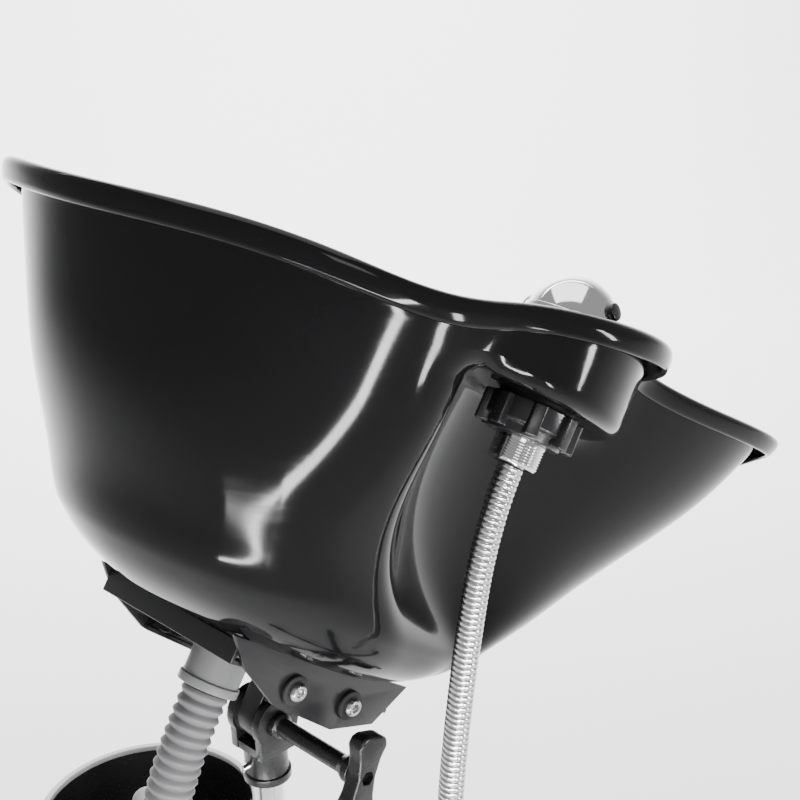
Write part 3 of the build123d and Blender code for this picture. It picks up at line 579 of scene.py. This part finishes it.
def basinMesh():
    columns = basin["columns"]
    heights = sorted(basin["levels"])
    rings = np.array([basin["levels"][h] + [(x, -y) for x, y in basin["levels"][h][-2:0:-1]]
                      for h in heights], float)
    steps = np.mean([np.linalg.norm(np.roll(r, -1, axis=0) - r, axis=1) for r in rings], axis=0)
    knots = np.concatenate([[0], np.cumsum(steps)])
    where = knots[-1] * np.arange(columns) / columns
    outlines = np.array([Spline(knots, r, closed=True).at(where) for r in rings])
    wallSpline = Spline(heights, outlines)
    every = np.arange(columns)

    def wall(levels):
        return wallSpline.at(np.broadcast_to(levels, (columns,)).astype(float), every)

    rimSpline = Spline(lineKnots(basin["rim"]), basin["rim"])
    rimDense = rimSpline.at(np.linspace(0, rimSpline.knots[-1], 600))

    def rimHeight(points):
        height = np.interp(points[:, 0], rimDense[:, 0], rimDense[:, 1])
        across = np.clip(np.abs(points[:, 1]) / basin["notchRadius"], 0, 0.999)
        notch = basin["notchCentre"] - basin["notchRadius"] * np.sqrt(1 - across ** 2)
        front = ease((points[:, 0] - 150) / 70)
        lowered = -12 * np.logaddexp(-height / 12, -notch / 12)  # soft lower of the two
        return height + front * np.minimum(lowered - height, 0)

    top = np.full(columns, 280.0)
    for _ in range(60):
        top = top + 0.5 * (rimHeight(wall(top)) - top)
    top = blurred(top, 4)

    # ledges: how far each column stands out above the shelf level
    level = basin["ledgeLevel"]
    atShelf = wall(level)
    reach = np.zeros((columns, 2))
    straight = np.zeros(columns)
    for side in (-1, 1):
        outline = np.array([(x, side * y) for x, y in basin["ledge"]], float)
        ledge = Spline(lineKnots(outline), outline)
        dense = ledge.at(np.linspace(0, ledge.knots[-1], 1200))
        nearest = [np.argmin(np.linalg.norm(dense - p, axis=1)) for p in atShelf]
        ranks = np.array(nearest)
        distance = np.linalg.norm(dense[ranks] - atShelf, axis=1)
        onSide = np.where((np.sign(atShelf[:, 1]) == side) & (np.abs(atShelf[:, 0] + 60) < 110))[0]
        rear = onSide[atShelf[onSide, 0] < -100]
        front = onSide[atShelf[onSide, 0] > -20]
        first = rear[np.argmin(distance[rear])]
        last = front[np.argmin(distance[front])]
        low, high = sorted((first, last))
        span = np.arange(low, high + 1)
        share = (span - low) / (high - low)
        q = np.interp(share, [0, 1], [ranks[low], ranks[high]])
        target = np.array([np.interp(q, np.arange(1200), dense[:, k]) for k in (0, 1)]).T
        reach[span] = target - atShelf[span]
        straight[span] = ease(share / 0.18) * ease((1 - share) / 0.18)
    reach = blurred(reach, 5)
    straight = blurred(straight, 5)
    width = np.linalg.norm(reach, axis=1)
    isLedge = ease(width / 26)
    shelf = np.minimum(level, top - 34)
    shelf = shelf * (1 - isLedge) + level * isLedge
    shelf = blurred(shelf, 3) * (1 - isLedge) + level * isLedge

    def above(levels):
        free = wall(levels)
        return free + straight[:, None] * (atShelf - free) + reach

    rows = []

    def addRow(flat, levels):
        rows.append(np.column_stack([flat, np.broadcast_to(levels, (columns,))]))

    # underside of the floor, from the drain hole outwards
    foot = wall(55)
    turn = np.arctan2(foot[:, 1], foot[:, 0] - basin["drainX"])
    hole = np.column_stack([basin["drainX"] + basin["drainRadius"] * np.cos(turn),
                            basin["drainRadius"] * np.sin(turn)])
    for share in np.linspace(0, 1, 9)[:-1]:
        addRow(hole + (foot - hole) * share, 55.0)
    rounding = 6
    for share in np.linspace(0, 1, 46)[:-1]:
        height = 55 + (shelf - rounding - 55) * share
        addRow(wall(height), height)
    # shelf: inside corner, flat underside, outside edge
    root = np.minimum(basin["ledgeRoot"], 0.45 * width) / np.maximum(width, 1e-6)
    edge = np.minimum(basin["ledgeEdge"], 0.45 * width) / np.maximum(width, 1e-6)
    count = 24
    for k in range(count + 1):
        t = k / count
        angle = math.pi / 2 * min(t / 0.3, 1)
        late = math.pi / 2 * max((t - 0.7) / 0.3, 0)
        out = (root * (1 - math.cos(angle)) + (1 - root - edge) * np.clip((t - 0.3) / 0.4, 0, 1)
               + edge * math.sin(late))
        curved = -rounding + rounding * math.sin(angle) + basin["ledgeEdge"] * (1 - math.cos(late))
        plain = -rounding + t * (rounding + basin["ledgeEdge"])
        rise = curved * isLedge + plain * (1 - isLedge)
        out = out * isLedge + t * (1 - isLedge)
        height = shelf + rise
        stepped = (wall(np.minimum(height, shelf)) * (1 - out[:, None])
                   + above(np.maximum(height, shelf)) * out[:, None])
        plainWall = wall(height) * (1 - t) + above(height) * t
        flat = stepped * isLedge[:, None] + plainWall * (1 - isLedge[:, None])
        addRow(flat, height)
    start = shelf + basin["ledgeEdge"]
    stop = top - basin["underLip"]
    stop = np.maximum(stop, start + 1)
    for share in np.linspace(0, 1, 16)[1:]:
        height = start + (stop - start) * share
        addRow(above(height), height)
    outer = np.array(rows)
    # even out the turn between floor and wall, and the shelf corners
    for _ in range(14):
        moved = outer.copy()
        moved[8:16] = 0.5 * outer[8:16] + 0.25 * (outer[7:15] + outer[9:17])
        outer = moved
    along = np.roll(outer, -1, axis=1) - np.roll(outer, 1, axis=1)
    up = np.gradient(outer, axis=0)
    normal = np.cross(along, up)
    normal /= np.maximum(np.linalg.norm(normal, axis=2, keepdims=True), 1e-9)
    centre = outer.mean(axis=(0, 1))
    if (normal[40] * (outer[40] - centre)).sum() < 0:
        normal = -normal
    inner = outer - basin["wall"] * normal
    inner[0] = outer[0] + (0, 0, basin["wall"])

    # lip: rolled out and turned down, open underneath
    out = normal[-1].copy()
    out[:, 2] = 0
    out = blurred(out, 3)
    out /= np.linalg.norm(out, axis=1, keepdims=True)
    lip = [(0.0, -12.0), (0.6, -8.5), (2.0, -6.0), (4.4, -5.0), (6.6, -6.2), (7.6, -9.0), (7.9, -13.0),
           (8.4, -14.2),
           (10.0, -14.8), (11.5, -14.2), (12.0, -12.4), (12.0, -8.0), (11.6, -4.8), (10.2, -2.2), (7.8, -0.6),
           (4.6, 0.0), (1.0, -0.1), (-2.0, -0.9), (-4.0, -2.6), (-5.0, -5.4), (-5.1, -10.0)]
    lipRows = []
    for offset, drop in lip:
        flat = above(top + drop) + out[:, :2] * offset
        lipRows.append(np.column_stack([flat, top + drop]))
    grid = np.concatenate([outer, np.array(lipRows), inner[::-1]])
    total = len(grid)
    vertices = grid.reshape(-1, 3)
    faces = [(r * columns + c, r * columns + (c + 1) % columns,
              ((r + 1) % total) * columns + (c + 1) % columns, ((r + 1) % total) * columns + c)
             for r in range(total) for c in range(columns)]
    mesh = bpy.data.meshes.new("basinShell")
    mesh.from_pydata(vertices.tolist(), [], faces)
    bm = bmesh.new()
    bm.from_mesh(mesh)
    bmesh.ops.recalc_face_normals(bm, faces=bm.faces)
    bm.transform(tilted @ Matrix.Scale(mm, 4))
    bm.to_mesh(mesh)
    bm.free()
    print("basin", len(faces), "faces, rim", round(float(top.min())), "to", round(float(top.max())))
    return mesh


shell = addPiece("basinShell", basinMesh(), "glossBlack")
settle(shell, "bowl", ["basin"])


# stage and light

def makeStage():
    bm = bmesh.new()
    half, back, rise = 5.0, 5.0, 6.0
    profile = [(-8.0, 0.0), (back - 2, 0.0)]
    profile += [(back - 2 + 2 * math.sin(a), 2 - 2 * math.cos(a)) for a in np.linspace(0.1, math.pi / 2, 14)]
    profile += [(back, rise)]
    turnBy = Matrix.Rotation(math.radians(-shot["heading"]), 4, "Z")
    rows = [[bm.verts.new(turnBy @ Vector((side * half * 2, y, z - 0.001))) for side in (-1, 1)] for y,
            z in profile]
    for low, high in zip(rows, rows[1:]):
        bm.faces.new((low[0], low[1], high[1], high[0]))
    bmesh.ops.recalc_face_normals(bm, faces=bm.faces)
    mesh = bpy.data.meshes.new("floor")
    bm.to_mesh(mesh)
    bm.free()
    floor = addPiece("floor", mesh, "paleFloor")


lights = {
    "softTop": {"place": (0.4, 0.3, 3.6), "aim": (0, 0, 0.8), "size": (3.0, 3.0), "power": 80},
    "backdrop": {"place": (1.6, 1.9, 3.4), "aim": (3.2, 3.6, 0.6), "size": (4.0, 2.0), "power": 640},
    "fill": {"place": (-1.6, -2.6, 2.4), "aim": (0, 0, 0.8), "size": (1.2, 0.8), "power": 14},
}
strips = {  # narrow boxes whose reflections draw the streaks on the wall: ends of the tube, width, power
    "longUpper": {"ends": ((-0.52, -1.31, 0.75), (-0.74, -1.04, 0.46)), "width": 0.07, "power": 10},
    "longMiddle": {"ends": ((-0.74, -1.04, 0.46), (-1.02, -0.63, 0.31)), "width": 0.07, "power": 10},
    "longLower": {"ends": ((-1.02, -0.63, 0.31), (-1.20, -0.16, 0.33)), "width": 0.022, "power": 4},
    "second": {"ends": ((-0.20, -1.37, 0.65), (-0.19, -1.25, 0.38)), "width": 0.09, "power": 6},
    "ledge": {"ends": ((0.66, -1.37, 1.18), (0.73, -1.29, 0.77)), "width": 0.09, "power": 8},
}


def addLamp(name, sizes, power, matrix):
    data = bpy.data.lights.new(name, "AREA")
    data.shape = "RECTANGLE"
    data.size, data.size_y = sizes
    data.energy = power
    lamp = bpy.data.objects.new(name, data)
    bpy.context.scene.collection.objects.link(lamp)
    lamp.matrix_world = matrix


def makeLights():
    for name, light in lights.items():
        facing = (Vector(light["aim"]) - Vector(light["place"])).to_track_quat("-Z", "Y")
        addLamp(name, light["size"], light["power"],
                Matrix.Translation(light["place"]) @ facing.to_matrix().to_4x4())
    for name, strip in strips.items():
        low, high = (Vector(end) for end in strip["ends"])
        middle = (low + high) / 2
        away = (middle - Vector((0, -0.12, 1.03))).normalized()
        length = (high - low).normalized()
        across = length.cross(away).normalized()
        away = across.cross(length)
        turned = Matrix((across, length, away)).transposed().to_4x4()
        addLamp(name, (strip["width"], (high - low).length), strip["power"],
                Matrix.Translation(middle) @ turned)
    world = bpy.data.worlds.new("studio")
    world.use_nodes = True
    world.node_tree.nodes["Background"].inputs["Color"].default_value = (1, 1, 1, 1)
    world.node_tree.nodes["Background"].inputs["Strength"].default_value = 0.38
    bpy.context.scene.world = world


makeStage()
makeLights()
print("stage and lights set")
bosses = {"places": (-57.0, -5.0), "size": 20.0, "inner": 46.0, "outer": 65.0, "low": 26.0, "high": 56.0,
          "bevel": 0.8}


def bossMesh():  # moulded blocks under the floor that take the bracket screws
    bm = bmesh.new()
    depth = bosses["outer"] - bosses["inner"]
    height = bosses["high"] - bosses["low"]
    for side in (-1, 1):
        for x in bosses["places"]:
            middle = (x, side * (bosses["inner"] + depth / 2), bosses["low"] + height / 2)
            bmesh.ops.create_cube(bm, size=1, matrix=Matrix.Translation(middle)
                                  @ Matrix.Diagonal((bosses["size"], depth, height, 1)))
    bmesh.ops.bevel(bm, geom=list(bm.edges), offset=bosses["bevel"], segments=2, profile=0.5, affect="EDGES",
                    clamp_overlap=True)
    return placedMesh("basinBosses", bm, tilted)


bossPiece = addPiece("basinBosses", bossMesh(), "glossBlack")
settle(bossPiece, "bowl", ())
sharpen(bossPiece.data)
print("bosses made")



# hose guide, its grip nut and the end fittings

guide = {"x": -82.0, "y": -172.0, "shelf": 240.0, "bore": 10.5, "outside": 14.5, "bottom": 203.0,
         "pitch": 1.6,
         "threadDepth": 0.75, "flange": 22.0, "flangeThick": 4.0, "nutRadius": 25.0, "nutLow": 218.0,
         "nutHigh": 238.0, "grips": 8, "gripReach": 29.0}
guidePlace = tilted @ Matrix.Translation((guide["x"] * mm, guide["y"] * mm, 0))


def threadProfile():
    low, high = guide["bottom"], guide["nutLow"]
    points = [(guide["bore"], low), (guide["outside"] - 1.2, low)]
    turns = int((high - low - 2) / guide["pitch"])
    for i in range(turns):
        level = low + 1.0 + i * guide["pitch"]
        points += [(guide["outside"] - guide["threadDepth"], level),
                   (guide["outside"], level + 0.35 * guide["pitch"]),
                   (guide["outside"], level + 0.55 * guide["pitch"])]
    top = guide["shelf"] + 5.0
    points += [(guide["outside"], high + 1), (guide["outside"], top), (guide["flange"] - 0.8, top),
               (guide["flange"], top + 0.8), (guide["flange"], top + guide["flangeThick"] - 1.0),
               (guide["flange"] - 1.0, top + guide["flangeThick"]),
               (guide["bore"], top + guide["flangeThick"])]
    return points


def makeGuide():
    shank = addPiece("guideShank", turned("guideShank", threadProfile(), guidePlace, 72), "chrome")
    sharpen(shank.data, 40)
    settle(shank, "bowl", ["hose_guide"])
    radius, low, high = guide["nutRadius"], guide["nutLow"], guide["nutHigh"]
    profile = softened([(guide["outside"] + 0.05, low), (radius - 3.5, low), (radius - 2.5, low + 6),
                        (radius, low + 7),
                        (radius, high), (guide["outside"] + 0.05, high)], 1.2)
    nut = addPiece("gripNut", turned("gripNut", profile, guidePlace, 72), "blackPlastic")
    sharpen(nut.data, 40)
    settle(nut, "bowl", ["wing_nut"])
    reach = guide["gripReach"]
    wing = extruded("gripWing", [(-3.5, -4.6), (reach - radius, -3.6), (reach - radius, 3.6), (-3.5, 4.6)],
                    low + 1.5, high - 0.5, Matrix.Identity(4), 1.0, 3)
    wings = runTree("gripWings", wing, around, {
        "Count": guide["grips"], "Radius": (radius - 0.3) * mm,
        "Offset": tuple(guidePlace.translation), "Turn": tuple(guidePlace.to_euler()),
        "Finish": finishes["blackPlastic"]})
    sharpen(wings.data, 40)
    settle(wings, "bowl", ())


makeGuide()

fittings = {
    "showerNut": {"on": "showerHose",
                  "profile": [(7.7, 0), (11.4, 0), (12.0, 2), (12.0, 13), (9.2, 16), (8.8, 30),
                                                 (7.7, 31)], "finish": "chrome", "slot": "chrome",
                  "body": "column"},
    "drainEnd": {"on": "drainHoseLower",
                 "profile": [(15.7, 0), (18.0, 0), (18.0, 26), (17.0, 28), (15.7, 28)],
                 "finish": "greyPlastic", "slot": "grey_plastic", "body": "base"},
}


def makeFittings():
    for name, fitting in fittings.items():
        path = hosePieces[fitting["on"]][1]
        end, before = Vector(path[-1]), Vector(path[-40])
        facing = (before - end).normalized().to_track_quat("Z", "Y").to_matrix().to_4x4()
        profile = softened(fitting["profile"], 0.7)
        piece = addPiece(name, turned(name, profile, Matrix.Translation(end) @ facing, 48), fitting["finish"])
        sharpen(piece.data, 40)
        settle(piece, fitting["body"], ())
        fitting["piece"] = piece


makeFittings()
for name, far, extra in (("showerHose", "connector", "showerNut"), ("drainHoseUpper", "object", None),
                         ("drainHoseLower", "fitting", "drainEnd")):
    piece, path = hosePieces[name]
print("guide and hose ends made")


# bracket screws, bushes and spray nozzles

bracket = {"face": 68.0, "proud": 3.0, "screwX": (-57.0, -5.0), "level": 34.0}


def screwProfile():
    return softened([(2.6, 3.9), (2.6, 1.4), (0, 1.4), (0, 0), (6.0, 0), (6.0, 1.8), (4.6, 4.0)], 0.7)


def bushProfile():
    return softened([(3.2, 0), (9.5, 0), (9.5, 2.4), (8.6, 3.0), (6.6, 3.0), (3.2, 3.0)], 0.9)


def placeAll(name, profile, offset, finish, replaced):
    for sideName, side in (("Near", -1), ("Far", 1)):
        for number, x in enumerate(bracket["screwX"]):
            facing = Matrix.Rotation(math.radians(-90 * side), 4, "X")
            spot = Matrix.Translation((x * mm, side * (bracket["face"] + offset) * mm, bracket["level"] * mm))
            one = addPiece(f"{name}{sideName}{number + 1}", turned(name, profile, tilted @ spot @ facing, 40),
                           finish)
            sharpen(one.data, 40)
            settle(one, "bowl", replaced)


placeAll("bush", bushProfile(), 0.0, "rubber", ["bracket_grommets"])
placeAll("screwHead", screwProfile(), bracket["proud"], "steel", ["bracket_screws"])

sprayer = {"level": 288.0, "radius": 26.0, "tilt": 12.0, "rings": ((6, 4.5), (12, 8.5))}


def makeNozzles():
    face = tilted @ Matrix.Translation((guide["x"] * mm, guide["y"] * mm,
                                        sprayer["level"] * mm)) @ Matrix.Rotation(
        math.radians(-90 - sprayer["tilt"]), 4, "X") @ Matrix.Translation((0, 0, (sprayer["radius"] - 1.0)
                                                                           * mm))
    for count, radius in sprayer["rings"]:
        nozzle = turned("nozzle", [(0, -0.4), (1.25, -0.4), (1.1, 0.9), (0.5, 1.2), (0.4, 0.5), (0, 0.5)],
                        Matrix.Identity(4), 14)
        piece = runTree(f"nozzleRing{count}", nozzle, around, {
            "Count": count, "Radius": radius * mm, "Offset": tuple(face.translation),
            "Turn": tuple(face.to_euler()), "Finish": finishes["rubber"]})
        sharpen(piece.data, 40)
        settle(piece, "sprayer", ())


makeNozzles()
print("screws, bushes and nozzles made")


# tilt handle

handle = {"end": -88.0, "shaft": 5.5, "shoulder": 8.5, "hub": 9.0, "thick": 12.0, "lean": 20.0,
          "half": [(-7.5, 0), (-9.0, 12), (-12.0, 20), (-10.5, 25), (-6.0, 27)], "recess": 5.0,
          "recessDeep": 4.0}


def makeHandle():
    quarter = handle["half"]
    upper = quarter + [(-x, y) for x, y in quarter[::-1]]
    outline = upper + [(-x, -y) for x, y in upper[1:-1]]
    back = (upright @ Matrix.Translation((0, handle["end"] * mm, 0))
            @ Matrix.Rotation(math.radians(90), 4, "X"))
    arms = back @ Matrix.Rotation(math.radians(-handle["lean"]), 4, "Z")
    head = addPiece("handleHead", extruded("handleHead", outline, 1.0, handle["thick"] + 1.0, arms, 2.2, 4),
                    "blackPlastic")
    hexagon = [(handle["recess"] * math.cos(math.radians(60 * i)),
                handle["recess"] * math.sin(math.radians(60 * i)))
               for i in range(6)]
    cutter = addPiece("cutter", extruded("cutter", hexagon, handle["thick"] + 1 - handle["recessDeep"],
                                         handle["thick"] + 4, arms, 0), "blackPlastic")
    cut = head.modifiers.new("recess", "BOOLEAN")
    cut.object, cut.operation, cut.solver = cutter, "DIFFERENCE", "EXACT"
    bpy.context.view_layer.update()
    plain = bpy.data.meshes.new_from_object(head.evaluated_get(bpy.context.evaluated_depsgraph_get()))
    head.modifiers.clear()
    head.data = plain
    bpy.data.objects.remove(cutter)
    sharpen(head.data, 40)
    settle(head, "tilt_handle", ())
    axis = upright @ Matrix.Rotation(math.radians(90), 4, "X")  # levels run towards the near side
    ear, far = 15.8, -22.8
    profile = softened([(0, far), (handle["shaft"], far), (handle["shaft"], ear + 0.3),
                        (handle["shoulder"], ear + 0.3),
                        (handle["shoulder"], ear + 4.3), (handle["shaft"] + 0.6, ear + 5.5),
                        (handle["shaft"] + 0.6, -handle["end"] - 9), (handle["hub"], -handle["end"] - 3),
                        (handle["hub"], -handle["end"] + 2), (0, -handle["end"] + 2)], 0.8)
    shaft = addPiece("handleShaft", turned("handleShaft", profile, axis, 56), "blackPlastic")
    sharpen(shaft.data, 40)
    settle(shaft, "tilt_handle", ["tilt_handle"])


makeHandle()


# the other pieces: the frame's own shapes with their edges rounded

nodeFinish = {
    "chrome": ["inner_tube", "sprayer_cap", "sprayer_body", "sprayer_seam_ring", "socket_screw"],
    "steel": ["hair_strainer", "clamp_nut", "bucket_handle"],
    "rubber": ["guide_gasket", "drain_seal", "friction_washers"],
    "blackPlastic": ["plug_nut", "blank_plug", "drain_nut", "tilt_socket", "tube_glide",
                     "height_knob", "column_collar", "flow_button", "waste_bucket"],
    "greyPlastic": ["drain_cuff", "spray_face"],
    # bucket_rim gets a light grey that is a painted reflection on its glossy black rim
    "rimGrey": ["bucket_rim"],
    "blackPaint": ["side_plate_near", "side_plate_far", "rear_cross_bar", "front_cross_bar", "pivot_bridge",
                   "outer_tube", "star_base"],
    "hoseChrome": ["shower_hose_top"],
    "glossBlack": ["drain_flange"],
    "wheelGrey": [],
}
rounded = {  # edge radius in millimetres
    "side_plate_near": 0.9, "side_plate_far": 0.9, "rear_cross_bar": 0.7, "front_cross_bar": 0.7,
    "pivot_bridge": 0.8, "tilt_socket": 0.9, "clamp_nut": 0.7, "column_collar": 1.2,
    "height_knob": 1.2, "star_base": 1.6, "drain_nut": 0.8, "plug_nut": 0.8, "blank_plug": 1.0,
    "drain_flange": 0.8, "drain_cuff": 0.9, "bucket_rim": 1.4, "flow_button": 0.8, "sprayer_seam_ring": 0.5,
}


def roundNode(name, radius, finish):
    node = frame["nodes"][name]
    bm = bmesh.new()
    bm.from_mesh(node.data)
    bmesh.ops.remove_doubles(bm, verts=bm.verts, dist=0.000005)
    bmesh.ops.dissolve_limit(bm, angle_limit=math.radians(1.5), verts=bm.verts, edges=bm.edges)
    corners = [e for e in bm.edges if len(e.link_faces) == 2 and e.calc_face_angle(0) > math.radians(38)]
    bmesh.ops.bevel(bm, geom=corners, offset=radius * mm, segments=3, profile=0.5, affect="EDGES",
                    clamp_overlap=True)
    bmesh.ops.triangulate(bm, faces=bm.faces)
    mesh = bpy.data.meshes.new(name)
    bm.to_mesh(mesh)
    bm.free()
    parts = name.split("_")
    piece = addPiece(parts[0] + "".join(part.title() for part in parts[1:]), mesh, finish)
    sharpen(piece.data, 34)
    settle(piece, bodyOf[name], [name])


bodyOf = {node: body for body, nodes in frame["record"]["behaviour"]["bodies"].items() for node in nodes}


def finishNodes():
    for name in frame["nodes"]:
        if name.startswith("castor_fork"):
            nodeFinish["blackPlastic"].append(name)
            rounded[name] = 0.8
        if name.startswith("castor_wheels"):
            nodeFinish["wheelGrey"].append(name)
            rounded[name] = 1.6
    for finish, names in nodeFinish.items():
        for name in names:
            if name in rounded:
                roundNode(name, rounded[name], finish)
            else:
                materials = frame["nodes"][name].data.materials
                materials.clear()
                materials.append(finishes[finish])


finishNodes()
print("other pieces finished")
